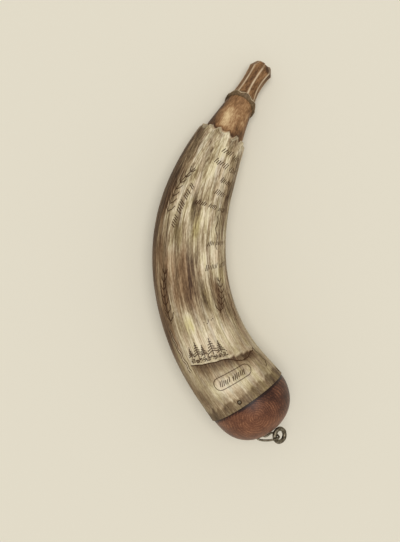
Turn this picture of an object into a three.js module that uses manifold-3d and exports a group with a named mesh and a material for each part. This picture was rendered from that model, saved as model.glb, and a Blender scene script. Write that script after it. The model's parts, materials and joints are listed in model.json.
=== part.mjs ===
// Powder horn: one hollow cow horn with a carved collar and eight-sided spout, closed by a domed wooden plug
// that four iron pins hold. An iron staple in the plug carries a loose ring for the strap.
// Millimetres, +Z up. The horn lies on its side on the floor and the spout's bore points along +Y.
import * as THREE from "three";
import { mergeVertices } from "three/addons/utils/BufferGeometryUtils.js";
import Module from "manifold-3d";

// The centreline seen from above, from the base rim to the mouth: length and turn to the right in degrees
const CENTRELINE = [
  { length: 20, turn: 0 },
  { length: 186, turn: 58 },
  { length: 86, turn: 11.5 },
  { length: 47, turn: 0 },
];
const MOUTH = CENTRELINE.reduce((sum, stretch) => sum + stretch.length, 0);
const WHOLE_TURN = CENTRELINE.reduce((sum, stretch) => sum + stretch.turn, 0);

// The horn's body: outer radius at four distances from the rim, and the scalloped shoulder where it ends
const BODY_STATIONS = [
  { at: 0, radius: 38.3 },
  { at: 55, radius: 35.4 },
  { at: 126, radius: 34.2 },
  { at: 261, radius: 22.5 },
];
const SHOULDER = 258;
const SCALLOPS = 14;
const SCALLOP_DEPTH = 4.2;
const SCALLOP_FADE = 22;
const SHOULDER_ROUNDING = 0.9;

// The wall is thin at the rim and grows towards the tip, where the hollow ends
const WALL_AT_RIM = 3.2;
const WALL_GAIN = 11;
const HOLLOW_END = 259;

// The neck between shoulder and collar, the collar, and the spout measured to its corners
const NECK_RADIUS_LOW = 19.3;
const NECK_RADIUS_HIGH = 13.4;
const NECK_LEAN = 0.4;
const COLLAR = 294.5;
const COLLAR_RADIUS = 15.4;
const COLLAR_WIDTH = 4.6;
const SPOUT_SIDES = 8;
const SPOUT_RADIUS_LOW = 13.2;
const SPOUT_RADIUS_WAIST = 10.2;
const SPOUT_RADIUS_FLARE = 11.6;
const SPOUT_RADIUS_END = 7.6;
const SPOUT_BOW = 0.8;
const FLARE = MOUTH - 6.5;
const BORE_DIAMETER = 8;
const BORE_LENGTH = 96;

// How the horn lies: depth of the flat it rests on, height of the bore, and the length over which the neck
// drops to it. The shoulder and the collar lean towards the spout on their upper side, in degrees, and the sawn
// rim does on its left side.
const SEAT_DEPTH = 0.3;
const BORE_HEIGHT = 15.8;
const NECK_DROP = 50;
const SHOULDER_RAKE = 7;
const COLLAR_RAKE = 30;
const RAKE_START = 60;
const RIM_TILT = 4.2;
const RIM_TILT_FADE = 60;

// The plug: a dome fuller than a half ball on a spigot inside the rim
const PLUG_RADIUS = 37.3;
const DOME_DEPTH = 38;
const DOME_FULLNESS = 2.3;
const SPIGOT_LENGTH = 12;
const FIT_GAP = 0.35;

// Iron pins through the wall into the spigot
const PIN_COUNT = 4;
const PIN_DIAMETER = 2.8;
const PIN_LENGTH = 8;
const PIN_FROM_RIM = 5;
const PIN_FIRST_TURN = -10;
const PIN_SUNK = 0.2;

// The staple's wire and the ring. Places on the plug are given as distance out from the rim, offset to the
// right when looking from the plug towards the spout, and height over the plug's axis.
const STAPLE_WIRE = 2;
const STAPLE_HOLE = 3.2;
const STAPLE_LEG_END = 27;
const STAPLE_LEG_UPPER = { out: 35.8, right: -15.8, up: 8.6 };
const STAPLE_LEG_LOWER = { out: 38.5, right: -10.6, up: 0.6 };
const STAPLE_EYE_UPPER = { out: 45.9, right: -1.6, up: 9.3 };
const STAPLE_EYE_LOWER = { out: 41.2, right: -2.2, up: 0.7 };
const STAPLE_NOSE = { out: 45.3, right: -0.1, up: 3.3 };
const RING_CENTRE = { out: 46.4, right: 1.2, up: 2.4 };
const RING_NORMAL = { out: 0.36, right: 0.45, up: 0.817 };
const RING_OUTSIDE = 16;
const RING_WIRE = 4.2;

// Fineness of the faceted surfaces. The horn's count is a multiple of its scallops and of the spout's sides.
const HORN_SEGMENTS = 56;
const HOLLOW_SEGMENTS = 28;
const PLUG_SEGMENTS = 48;
const BORE_SEGMENTS = 16;

const { smoothstep, degToRad } = THREE.MathUtils;
const wasm = await Module();
wasm.setup();

// Smooth curve through the body's four stations
function bodyRadius(s) {
  return BODY_STATIONS.reduce((sum, here) => {
    const others = BODY_STATIONS.filter((station) => station !== here);
    return sum + others.reduce((term, other) => (term * (s - other.at)) / (here.at - other.at), here.radius);
  }, 0);
}

// Place and heading of the centreline in plan, at distance s from the rim
function centrelineAt(s) {
  let heading = -degToRad(WHOLE_TURN);
  let x = 0;
  let y = 0;
  let left = s;
  for (const { length, turn } of CENTRELINE) {
    const run = Math.min(left, length);
    const half = degToRad((turn * run) / length) / 2;
    const chord = half === 0 ? run : (run * Math.sin(half)) / half;
    x += chord * Math.sin(heading + half);
    y += chord * Math.cos(heading + half);
    heading += 2 * half;
    left -= run;
  }
  return { x, y, heading };
}

// The body lies along the floor on its underside, and the neck drops to the bore's height
function heightAt(s) {
  if (s <= SHOULDER) {
    return bodyRadius(Math.max(s, 0)) - SEAT_DEPTH;
  }
  const still = 1 - Math.min((s - SHOULDER) / NECK_DROP, 1);
  const drop = bodyRadius(SHOULDER) - SEAT_DEPTH - BORE_HEIGHT;
  return BORE_HEIGHT + drop * still * still;
}

// Tangent of the angle by which a ring of the surface leans towards the spout at its top
function rakeAt(s) {
  const shoulder = Math.tan(degToRad(SHOULDER_RAKE));
  const collar = Math.tan(degToRad(COLLAR_RAKE));
  if (s <= SHOULDER) {
    return shoulder * smoothstep(s, SHOULDER - RAKE_START, SHOULDER);
  }
  if (s <= COLLAR) {
    return THREE.MathUtils.mapLinear(s, SHOULDER, COLLAR, shoulder, collar);
  }
  return collar * (1 - smoothstep(s, COLLAR, FLARE));
}

// The same for the right side. Only the rim and what lies near it on the horn and the dome are askew.
function tiltAt(s) {
  const fade = s > 0 ? smoothstep(s, 0, RIM_TILT_FADE) : smoothstep(-s, 0, DOME_DEPTH / 2);
  return -Math.tan(degToRad(RIM_TILT)) * (1 - fade);
}

// Radius of a many-sided section at an angle, as a share of the radius to its corners
function facetShare(turn) {
  const side = (2 * Math.PI) / SPOUT_SIDES;
  const corner = (2 * Math.PI) / HORN_SEGMENTS;
  const within = THREE.MathUtils.euclideanModulo(turn - corner, side) - side / 2;
  return Math.cos(side / 2) / Math.cos(within);
}

// A point of the surface: turn runs from the top over the right side
function pointOnHorn({ s, r, scallop = 0, lean = 0, faceted = false }, turn) {
  const { x, y, heading } = centrelineAt(s);
  const radius = faceted ? r * facetShare(turn) : r;
  const lobe = scallop * SCALLOP_DEPTH * (0.5 - Math.abs(Math.cos((turn * SCALLOPS) / 2)));
  const along = lobe + radius * (rakeAt(s) * Math.cos(turn) + tiltAt(s) * Math.sin(turn));
  const right = lean + radius * Math.sin(turn);
  return new THREE.Vector3(
    x + along * Math.sin(heading) + right * Math.cos(heading),
    y + along * Math.cos(heading) - right * Math.sin(heading),
    heightAt(s) + radius * Math.cos(turn),
  );
}

// A straight turned profile, bent along the centreline
function bentLathe(rings, segments) {
  const profile = rings.map(({ s, r }) => new THREE.Vector2(r, s));
  const geometry = new THREE.LatheGeometry(profile, segments);
  for (let i = 0; i <= segments; i += 1) {
    const turn = (i / segments) * 2 * Math.PI;
    rings.forEach((ring, j) => {
      geometry.attributes.position.setXYZ(i * rings.length + j, ...pointOnHorn(ring, turn));
    });
  }
  return geometry;
}

// A closed geometry as a solid for joining and cutting, without the empty triangles at a profile's ends
function solidOf(geometry) {
  geometry.deleteAttribute("normal");
  geometry.deleteAttribute("uv");
  const merged = mergeVertices(geometry);
  const corners = [];
  for (let i = 0; i < merged.index.count; i += 3) {
    const [a, b, c] = merged.index.array.slice(i, i + 3);
    if (a !== b && b !== c && c !== a) {
      corners.push(a, b, c);
    }
  }
  const vertProperties = merged.attributes.position.array;
  return new wasm.Manifold(new wasm.Mesh({ numProp: 3, vertProperties, triVerts: Uint32Array.from(corners) }));
}

function geometryOf(solid) {
  const { vertProperties, triVerts } = solid.getMesh();
  const geometry = new THREE.BufferGeometry();
  geometry.setAttribute("position", new THREE.BufferAttribute(vertProperties, 3));
  geometry.setIndex(new THREE.BufferAttribute(triVerts, 1));
  return geometry;
}

// A place given on the plug, in the part's own axes
function onPlug({ out, right, up }) {
  const { x, y, heading } = centrelineAt(-out);
  return new THREE.Vector3(x + right * Math.cos(heading), y - right * Math.sin(heading), heightAt(0) + up);
}

// A round rod from one point to another
function rodBetween(start, end, diameter, sides) {
  const axis = end.clone().sub(start);
  const radius = diameter / 2 / Math.cos(Math.PI / sides);
  const geometry = new THREE.CylinderGeometry(radius, radius, axis.length(), sides);
  const tilt = new THREE.Quaternion().setFromUnitVectors(THREE.Object3D.DEFAULT_UP, axis.normalize());
  const middle = start.clone().add(end).multiplyScalar(0.5);
  return geometry.applyQuaternion(tilt).translate(...middle);
}

// The centre line of one pin or of its hole, from its outer to its inner end
function pinLine(index, outer, inner) {
  const turn = degToRad(PIN_FIRST_TURN) + (index / PIN_COUNT) * 2 * Math.PI;
  return [outer, inner].map((r) => pointOnHorn({ s: PIN_FROM_RIM, r }, turn));
}

// Horn
function hornRings() {
  const rings = [{ s: 0, r: 0 }];
  const bodySteps = 18;
  for (let i = 0; i <= bodySteps; i += 1) {
    const s = ((SHOULDER - SHOULDER_ROUNDING) * i) / bodySteps;
    rings.push({ s, r: bodyRadius(s), scallop: smoothstep(s, SHOULDER - SCALLOP_FADE, SHOULDER) });
  }
  rings.push({ s: SHOULDER, r: bodyRadius(SHOULDER) - SHOULDER_ROUNDING, scallop: 1 });

  // The neck starts at the foot of the scallops and ends under the collar
  const neckSteps = 5;
  const neckEnd = COLLAR - COLLAR_WIDTH / 2;
  for (let i = 0; i <= neckSteps; i += 1) {
    const share = i / neckSteps;
    rings.push({
      s: THREE.MathUtils.lerp(SHOULDER + SHOULDER_ROUNDING, neckEnd, share),
      r: THREE.MathUtils.lerp(NECK_RADIUS_LOW, NECK_RADIUS_HIGH, share),
      scallop: i === 0 ? 1 : 0,
      lean: NECK_LEAN * (1 - share),
    });
  }

  // The collar is a half-round ring
  const collarSteps = 4;
  for (let i = 1; i < collarSteps; i += 1) {
    const swing = (Math.PI * i) / collarSteps;
    rings.push({
      s: COLLAR - (COLLAR_WIDTH / 2) * Math.cos(swing),
      r: NECK_RADIUS_HIGH + (COLLAR_RADIUS - NECK_RADIUS_HIGH) * Math.sqrt(Math.sin(swing)),
    });
  }

  // The spout narrows to a waist, bows a little to the left, flares again and is chamfered at its end
  const spoutSteps = 6;
  const spoutStart = COLLAR + COLLAR_WIDTH / 2;
  for (let i = 0; i <= spoutSteps; i += 1) {
    const share = i / spoutSteps;
    const plain = THREE.MathUtils.lerp(SPOUT_RADIUS_LOW, SPOUT_RADIUS_FLARE, share);
    const waist = (SPOUT_RADIUS_LOW + SPOUT_RADIUS_FLARE) / 2 - SPOUT_RADIUS_WAIST;
    const hump = 4 * share * (1 - share);
    rings.push({
      s: THREE.MathUtils.lerp(spoutStart, FLARE, share),
      r: plain - waist * hump,
      lean: -SPOUT_BOW * hump,
      faceted: true,
    });
  }
  rings.push({ s: MOUTH, r: SPOUT_RADIUS_END, faceted: true });
  rings.push({ s: MOUTH, r: 0 });
  return rings;
}

function hollowRadius(s) {
  return bodyRadius(s) - WALL_AT_RIM - WALL_GAIN * (s / SHOULDER) ** 4;
}

function hollowRings() {
  const beyond = 2;
  const steps = 13;
  const shoulder = HOLLOW_END - 9;
  const rings = [{ s: -beyond, r: 0 }, { s: -beyond, r: hollowRadius(0) }];
  for (let i = 0; i <= steps; i += 1) {
    const s = (shoulder * i) / steps;
    rings.push({ s, r: hollowRadius(s) });
  }
  rings.push({ s: (shoulder + HOLLOW_END) / 2, r: hollowRadius(shoulder) * 0.75 });
  rings.push({ s: HOLLOW_END, r: 0 });
  return rings;
}

function drilledBore() {
  const { x, y } = centrelineAt(MOUTH);
  const start = new THREE.Vector3(x, y + 1, BORE_HEIGHT);
  const end = new THREE.Vector3(x, y - BORE_LENGTH, BORE_HEIGHT);
  return rodBetween(start, end, BORE_DIAMETER, BORE_SEGMENTS);
}

function pinHoles() {
  const deepEnd = PLUG_RADIUS - PIN_LENGTH - 1;
  const drills = [];
  for (let i = 0; i < PIN_COUNT; i += 1) {
    const [outer, inner] = pinLine(i, PLUG_RADIUS + 3, deepEnd);
    drills.push(solidOf(rodBetween(outer, inner, PIN_DIAMETER + 2 * FIT_GAP, 12)));
  }
  return drills.reduce((all, drill) => all.add(drill));
}

function hornGeometry() {
  const floor = new THREE.BoxGeometry(1000, 1000, 20).translate(0, 0, -10);
  const horn = solidOf(bentLathe(hornRings(), HORN_SEGMENTS))
    .subtract(solidOf(bentLathe(hollowRings(), HOLLOW_SEGMENTS)))
    .subtract(solidOf(drilledBore()))
    .subtract(pinHoles())
    .subtract(solidOf(floor));
  return geometryOf(horn);
}

// Plug
function plugRings() {
  const rings = [{ s: -DOME_DEPTH - FIT_GAP, r: 0 }];
  const domeSteps = 12;
  for (let i = 1; i <= domeSteps; i += 1) {
    const swing = (Math.PI / 2) * (i / domeSteps);
    rings.push({
      s: -FIT_GAP - DOME_DEPTH * Math.max(Math.cos(swing), 0) ** (2 / DOME_FULLNESS),
      r: PLUG_RADIUS * Math.sin(swing) ** (2 / DOME_FULLNESS),
    });
  }
  rings[rings.length - 1].s = -FIT_GAP;
  for (const s of [-FIT_GAP, SPIGOT_LENGTH / 2, SPIGOT_LENGTH]) {
    rings.push({ s, r: hollowRadius(Math.max(s, 0)) - FIT_GAP });
  }
  rings.push({ s: SPIGOT_LENGTH, r: 0 });
  return rings;
}

function stapleHoles() {
  const drills = [STAPLE_LEG_UPPER, STAPLE_LEG_LOWER].map((leg) => {
    const deepEnd = onPlug({ ...leg, out: STAPLE_LEG_END - FIT_GAP });
    const surface = onPlug({ ...leg, out: leg.out + 2 });
    return solidOf(rodBetween(surface, deepEnd, STAPLE_HOLE, 10));
  });
  return drills[0].add(drills[1]);
}

function plugGeometry() {
  const plug = solidOf(bentLathe(plugRings(), PLUG_SEGMENTS));
  return geometryOf(plug.subtract(pinHoles()).subtract(stapleHoles()));
}

// Pins, staple and ring
function pinGeometry(index) {
  const surface = bodyRadius(PIN_FROM_RIM) - PIN_SUNK;
  const [outer, inner] = pinLine(index, surface, surface - PIN_LENGTH);
  return rodBetween(outer, inner, PIN_DIAMETER, 12);
}

function stapleGeometry() {
  const upperEnd = { ...STAPLE_LEG_UPPER, out: STAPLE_LEG_END };
  const lowerEnd = { ...STAPLE_LEG_LOWER, out: STAPLE_LEG_END };
  const straight = (end, leg) => onPlug({ ...leg, out: (end.out + 3 * leg.out) / 4 });
  const route = [
    onPlug(upperEnd),
    straight(upperEnd, STAPLE_LEG_UPPER),
    onPlug(STAPLE_LEG_UPPER),
    onPlug(STAPLE_EYE_UPPER),
    onPlug(STAPLE_NOSE),
    onPlug(STAPLE_EYE_LOWER),
    onPlug(STAPLE_LEG_LOWER),
    straight(lowerEnd, STAPLE_LEG_LOWER),
    onPlug(lowerEnd),
  ];
  const section = new THREE.Shape().absarc(0, 0, STAPLE_WIRE / 2, 0, 2 * Math.PI);
  return new THREE.ExtrudeGeometry(section, {
    extrudePath: new THREE.CatmullRomCurve3(route),
    steps: 44,
    curveSegments: 4,
    bevelEnabled: false,
  });
}

function ringMesh(material) {
  const tube = RING_WIRE / 2;
  const mesh = new THREE.Mesh(new THREE.TorusGeometry(RING_OUTSIDE / 2 - tube, tube, 10, 28), material);
  const normal = onPlug(RING_NORMAL).sub(onPlug({ out: 0, right: 0, up: 0 })).normalize();
  mesh.position.copy(onPlug(RING_CENTRE));
  mesh.quaternion.setFromUnitVectors(new THREE.Vector3(0, 0, 1), normal);
  return mesh;
}

// Materials
const hornMaterial = new THREE.MeshStandardMaterial({ color: "#9a886b", roughness: 0.45, flatShading: true });
const woodMaterial = new THREE.MeshStandardMaterial({ color: "#6c4530", roughness: 0.4, flatShading: true });
const ironMaterial = new THREE.MeshStandardMaterial({
  color: "#4a4438",
  roughness: 0.55,
  metalness: 0.9,
  flatShading: true,
});

// The whole part
const powderHorn = new THREE.Group();

function addPiece(name, mesh) {
  mesh.name = name;
  powderHorn.add(mesh);
}

addPiece("horn", new THREE.Mesh(hornGeometry(), hornMaterial));
addPiece("base_plug", new THREE.Mesh(plugGeometry(), woodMaterial));
for (let i = 0; i < PIN_COUNT; i += 1) {
  addPiece(`pin_${i + 1}`, new THREE.Mesh(pinGeometry(i), ironMaterial));
}
addPiece("staple", new THREE.Mesh(stapleGeometry(), ironMaterial));
addPiece("ring", ringMesh(ironMaterial));

// The origin is on the floor under the middle of the part's box
const middle = new THREE.Box3().setFromObject(powderHorn, true).getCenter(new THREE.Vector3());
powderHorn.position.set(-middle.x, -middle.y, 0);
powderHorn.updateMatrixWorld(true);

export default powderHorn;
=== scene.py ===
# Powder horn lying on its side: a cow horn with a carved collar and spout, a domed wooden plug, iron
# pins, and an iron staple with a ring for the strap. Lengths are in millimetres until a piece is
# finished and scaled to metres. Distances along the horn run from the base rim to the mouth, and
# turns run from its top over its right side.
import json
import math
import random

import bmesh
import bpy
from mathutils import Matrix, Vector, kdtree, noise


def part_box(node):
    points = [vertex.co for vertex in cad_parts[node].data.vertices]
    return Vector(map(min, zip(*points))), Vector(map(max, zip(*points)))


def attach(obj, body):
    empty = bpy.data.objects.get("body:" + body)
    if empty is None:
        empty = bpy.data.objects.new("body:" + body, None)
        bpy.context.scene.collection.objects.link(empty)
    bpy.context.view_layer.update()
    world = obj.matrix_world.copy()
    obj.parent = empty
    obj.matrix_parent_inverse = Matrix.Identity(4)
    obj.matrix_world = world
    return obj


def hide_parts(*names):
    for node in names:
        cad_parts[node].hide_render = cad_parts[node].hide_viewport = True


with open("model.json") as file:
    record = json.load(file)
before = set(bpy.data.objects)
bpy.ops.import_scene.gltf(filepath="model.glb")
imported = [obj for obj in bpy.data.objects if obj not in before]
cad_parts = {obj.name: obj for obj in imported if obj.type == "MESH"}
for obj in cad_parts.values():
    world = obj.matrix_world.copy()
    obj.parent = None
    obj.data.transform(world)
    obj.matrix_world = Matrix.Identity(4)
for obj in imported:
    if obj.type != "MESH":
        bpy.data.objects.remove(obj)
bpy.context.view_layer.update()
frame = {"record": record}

# Camera
# It hangs straight above the horn, which lies on its side, and is turned until the spout points up
# and to the right.
MM = 0.001
CAMERA_PLACE = Vector((-38.05, -41.56, 761.6))
CAMERA_TURN = 30.76
CAMERA_LENS = 52.4

camera = bpy.data.objects.new("camera", bpy.data.cameras.new("camera"))
camera.data.lens = CAMERA_LENS
camera.location = CAMERA_PLACE * MM
camera.rotation_euler.z = math.radians(CAMERA_TURN)
bpy.context.scene.collection.objects.link(camera)
bpy.context.scene.camera = camera

# Horn, its form
# One cow horn, boiled and scraped thin, hollow from the rim to the neck. The scalloped shoulder, the
# neck, the collar and the eight-sided spout are carved from its solid tip, and a drilled bore runs
# out through them.

# The centreline's stretches are lengths with the degrees that they turn, and the body's stations are
# distances with outside radii
CENTRELINE = [(20, 0), (186, 58), (86, 11.5), (47, 0)]
MOUTH = sum(length for length, turn in CENTRELINE)
WHOLE_TURN = sum(turn for length, turn in CENTRELINE)
BODY_STATIONS = [(0, 38.3), (55, 35.4), (126, 34.2), (261, 22.5)]
SHOULDER = 258
ROUNDING = 0.9
FOOT = SHOULDER + ROUNDING
SCALLOPS = 14
SCALLOP_DEPTH = 4.2
SCALLOP_FADE = 22
SCALLOP_FOOT = 6
NECK_LOW, NECK_HIGH = 19.3, 13.4
NECK_LEAN = 0.4
COLLAR, COLLAR_RADIUS, COLLAR_WIDTH = 294.5, 15.4, 4.6
NECK_END = COLLAR - COLLAR_WIDTH / 2
SPOUT_START = COLLAR + COLLAR_WIDTH / 2
SPOUT_SIDES = 8
SPOUT_LOW, SPOUT_WAIST, SPOUT_FLARE, SPOUT_END = 13.2, 10.2, 11.6, 7.6
SPOUT_BOW = 0.8
FLARE = MOUTH - 6.5
STOP_LENGTH, STOP_CUT = 7, 0.06
FLAT_CUT, FLAT_OVERRUN = 0.6, 0.4
# The first arris stands a little to the right of the spout's top
ARRIS_TURN = 2 * math.pi / 56
SEAT_DEPTH = 0.3
NECK_DROP = 50
SHOULDER_RAKE = math.tan(math.radians(7))
COLLAR_RAKE = math.tan(math.radians(30))
RAKE_START = 60
RIM_TILT, RIM_TILT_FADE = math.tan(math.radians(4.2)), 60
DOME_DEPTH = 38
WALL_AT_RIM, WALL_GAIN, WALL_RISE = 3.2, 11, 4
HOLLOW_SHOULDER, BORE_INNER_END = 250, 262
BORE_RADIUS = 4
# The mount on the spout's end sits beside the bore, which gives the mouth's place and the bore's height
MOUNT_BESIDE_BORE = 5.7
spout_end = next(mount for mount in frame["record"]["mounts"] if mount["name"] == "spout_end")
MOUTH_PLACE = Vector(spout_end["pos_m"]) / MM - Vector((MOUNT_BESIDE_BORE, 0, 0))
BORE_HEIGHT = MOUTH_PLACE.z


def smoothstep(value, low, high):
    share = min(max((value - low) / (high - low), 0), 1)
    return share * share * (3 - 2 * share)


def lerp(start, end, share):
    return start + (end - start) * share


def body_radius(s):
    """Smooth curve through the body's four stations."""
    total = 0
    for at, radius in BODY_STATIONS:
        for other, _ in BODY_STATIONS:
            if other != at:
                radius *= (s - other) / (at - other)
        total += radius
    return total


def centreline_from_rim(s):
    """Place in plan, and heading, at distance s along the centreline, measured from the rim's centre."""
    heading = -math.radians(WHOLE_TURN)
    place = Vector((0, 0))
    left = s
    for length, turn in CENTRELINE:
        run = min(left, length)
        half = math.radians(turn * run / length) / 2
        chord = run * math.sin(half) / half if half else run
        place += chord * Vector((math.sin(heading + half), math.cos(heading + half)))
        heading += 2 * half
        left -= run
    return place, heading


RIM_PLACE = MOUTH_PLACE.to_2d() - centreline_from_rim(MOUTH)[0]


def height_at(s):
    """The body lies on the floor, and the neck drops to the bore's height."""
    if s <= SHOULDER:
        return body_radius(max(s, 0)) - SEAT_DEPTH
    still = 1 - min((s - SHOULDER) / NECK_DROP, 1)
    return BORE_HEIGHT + (body_radius(SHOULDER) - SEAT_DEPTH - BORE_HEIGHT) * still * still


def rake_at(s):
    """How far a ring of the surface leans towards the spout at its top, for each mm of height."""
    if s <= SHOULDER:
        return SHOULDER_RAKE * smoothstep(s, SHOULDER - RAKE_START, SHOULDER)
    if s <= COLLAR:
        return lerp(SHOULDER_RAKE, COLLAR_RAKE, (s - SHOULDER) / (COLLAR - SHOULDER))
    return COLLAR_RAKE * (1 - smoothstep(s, COLLAR, FLARE))


def tilt_at(s):
    """The same for the right side. The rim is askew, with what lies near it on the horn and on the dome."""
    fade = smoothstep(s, 0, RIM_TILT_FADE) if s > 0 else smoothstep(-s, 0, DOME_DEPTH / 2)
    return -RIM_TILT * (1 - fade)


def outside_radius(s):
    if s <= SHOULDER:
        over = max((s - SHOULDER) / ROUNDING + 1, 0)
        return body_radius(s) - ROUNDING * (1 - math.sqrt(1 - over * over))
    if s <= FOOT:
        return lerp(body_radius(SHOULDER) - ROUNDING, NECK_LOW, (s - SHOULDER) / ROUNDING)
    if s <= NECK_END:
        return lerp(NECK_LOW, NECK_HIGH, (s - FOOT) / (NECK_END - FOOT))
    if s < SPOUT_START:
        swing = math.acos((COLLAR - s) * 2 / COLLAR_WIDTH)
        return NECK_HIGH + (COLLAR_RADIUS - NECK_HIGH) * math.sqrt(math.sin(swing))
    if s <= FLARE:
        share = (s - SPOUT_START) / (FLARE - SPOUT_START)
        waist = (SPOUT_LOW + SPOUT_FLARE) / 2 - SPOUT_WAIST
        return lerp(SPOUT_LOW, SPOUT_FLARE, share) - waist * 4 * share * (1 - share)
    return lerp(SPOUT_FLARE, SPOUT_END, (s - FLARE) / (MOUTH - FLARE))


def lean_at(s):
    """The neck sits a little to the right of the centreline, and the spout bows a little to its left."""
    if FOOT <= s <= NECK_END:
        return NECK_LEAN * (1 - (s - FOOT) / (NECK_END - FOOT))
    if SPOUT_START <= s <= FLARE:
        share = (s - SPOUT_START) / (FLARE - SPOUT_START)
        return -SPOUT_BOW * 4 * share * (1 - share)
    return 0


def from_arris(turn):
    """Angle to the nearest arris of the spout."""
    side = 2 * math.pi / SPOUT_SIDES
    return abs((turn - ARRIS_TURN + side / 2) % side - side / 2)


def facet_share(s, turn):
    """Radius of the eight-sided spout as a share of that at its arrises, which end in pointed stops."""
    if s < SPOUT_START:
        return 1
    half_side = math.pi / SPOUT_SIDES
    flat = math.cos(half_side) / math.cos(half_side - from_arris(turn))
    cut = STOP_CUT * (1 - smoothstep(s, SPOUT_START, SPOUT_START + STOP_LENGTH))
    return min(flat, (1 - cut) / math.cos(from_arris(turn)))


def flat_end(turn):
    """Where the spout's flats end on the collar: lowest in a flat's middle and highest at an arris."""
    share = from_arris(turn) * SPOUT_SIDES / math.pi
    return lerp(SPOUT_START - FLAT_OVERRUN, COLLAR - FLAT_OVERRUN, share)


# The carver cut no two scallops alike, and their edge has worn and chipped since
SCALLOP_UNEVEN = 0.25
carver = random.Random(14)
SCALLOP_CUTS = [carver.uniform(1 - SCALLOP_UNEVEN, 1 + SCALLOP_UNEVEN) for _ in range(SCALLOPS)]
CHIP_SIZE, CHIP_DEPTH = 2.6, 0.9


def scallop_shift(s, turn):
    """How far the scalloped edge moves a point of the surface towards the spout."""
    if s <= SHOULDER:
        share = smoothstep(s, SHOULDER - SCALLOP_FADE, SHOULDER)
    else:
        share = 1 - min(max((s - FOOT) / SCALLOP_FOOT, 0), 1)
    if share == 0:
        return 0
    swing = turn * SCALLOPS / 2 + math.pi / 2
    cut = SCALLOP_CUTS[math.floor(swing / math.pi) % SCALLOPS]
    edge = straight_point(SHOULDER, turn) / CHIP_SIZE
    chips = CHIP_DEPTH * noise.noise(edge)
    return share * (SCALLOP_DEPTH * (0.5 - cut * abs(math.sin(swing))) + chips)


def straight_point(s, turn):
    """A point of the outside, with the horn bent straight along the third axis. Patterns use it."""
    radius = outside_radius(s)
    return Vector((radius * math.sin(turn), radius * math.cos(turn), s))


def bent_point(s, turn, radius, along=0, right=0):
    """A point around the centreline. along and right move it towards the spout and to the right."""
    place, heading = centreline_from_rim(s)
    along += radius * (rake_at(s) * math.cos(turn) + tilt_at(s) * math.sin(turn))
    right += radius * math.sin(turn)
    plan = RIM_PLACE + place
    plan += along * Vector((math.sin(heading), math.cos(heading)))
    plan += right * Vector((math.cos(heading), -math.sin(heading)))
    return Vector((*plan, max(height_at(s) + radius * math.cos(turn), 0)))


# A flake has come off above the rim. It left a ledge, which slants across the body, a shallow floor
# below it, and a crack along the ledge's foot. Places across the body are turns in degrees.
LEDGE_AT, LEDGE_SLANT, LEDGE_DEPTH = 45.2, -0.17, 0.8
LEDGE_WIDTH, LEDGE_FLOOR = 0.7, 13
LEDGE_FROM, LEDGE_TO, LEDGE_END = -44, 58, 7
LEDGE_WOBBLE, LEDGE_WOBBLE_SIZE = 0.5, 9
CRACK_FROM, CRACK_APART, CRACK_BACK, CRACK_DROP = 10, 28, 36, 5.5
CRACK_WOBBLE, CRACK_WOBBLE_SIZE, CRACK_WOBBLE_ROW = 1.2, 7, 5
# Scraping left long shallow flats, which wander along the horn
FLAT_WIDTH, FLAT_LENGTH, FLAT_DEPTH = 11, 60, 0.28
# Four pins near the rim sit in shallow recesses
PIN_COUNT, PIN_RADIUS, PIN_FROM_RIM = 4, 1.4, 5
FIRST_PIN_TURN = math.radians(-10)
PIN_TURNS = [FIRST_PIN_TURN + 2 * math.pi * i / PIN_COUNT for i in range(PIN_COUNT)]
RECESS_DEPTH, RECESS_SLOPE = 0.6, 0.7


def from_pin(s, turn):
    """Distance over the surface to the nearest pin's axis."""
    arcs = [(turn - pin_turn + math.pi) % (2 * math.pi) - math.pi for pin_turn in PIN_TURNS]
    return min(math.hypot(body_radius(PIN_FROM_RIM) * arc, s - PIN_FROM_RIM) for arc in arcs)


def ledge_at(degrees):
    wobble = noise.noise(Vector((degrees / LEDGE_WOBBLE_SIZE, 0, 0)))
    return LEDGE_AT + LEDGE_SLANT * degrees + LEDGE_WOBBLE * wobble


def crack_at(degrees):
    """The crack at the ledge's foot leaves it on the right."""
    wobble = noise.noise(Vector((degrees / CRACK_WOBBLE_SIZE, CRACK_WOBBLE_ROW, 0)))
    apart = smoothstep(degrees, CRACK_FROM, CRACK_APART) * (1 - smoothstep(degrees, CRACK_BACK, LEDGE_TO))
    return ledge_at(degrees) - LEDGE_WIDTH - apart * (CRACK_DROP + CRACK_WOBBLE * wobble)


def surface_relief(s, turn):
    """How far the surface of the body or the collar stands above its plain form."""
    if NECK_END < s < SPOUT_START:
        return -FLAT_CUT * smoothstep(s - flat_end(turn), 0, FLAT_CUT)
    if s > SHOULDER:
        return 0
    x, y, z = straight_point(s, turn)
    flats = noise.noise(Vector((x / FLAT_WIDTH, y / FLAT_WIDTH, z / FLAT_LENGTH)))
    degrees = math.degrees(turn)
    below = ledge_at(degrees) - s
    flake = smoothstep(below, 0, LEDGE_WIDTH) * (1 - smoothstep(below, LEDGE_WIDTH, LEDGE_FLOOR))
    flake *= smoothstep(degrees, LEDGE_FROM, LEDGE_FROM + LEDGE_END)
    flake *= 1 - smoothstep(degrees, LEDGE_TO - LEDGE_END, LEDGE_TO)
    quiet = smoothstep(s, 0, FLAT_WIDTH) * (1 - smoothstep(s, SHOULDER - SCALLOP_FADE, SHOULDER))
    recess = 1 - smoothstep(from_pin(s, turn), PIN_RADIUS, PIN_RADIUS + RECESS_SLOPE)
    return FLAT_DEPTH * flats * quiet - LEDGE_DEPTH * flake - RECESS_DEPTH * recess


# The spout's end has lost a chip on its upper right
MOUTH_CHIP_TURN, MOUTH_CHIP_HALF = math.radians(32), math.radians(30)
MOUTH_CHIP_DEPTH, MOUTH_CHIP_REACH, MOUTH_CHIP_FULLNESS = 1.5, 4, 3


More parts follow.
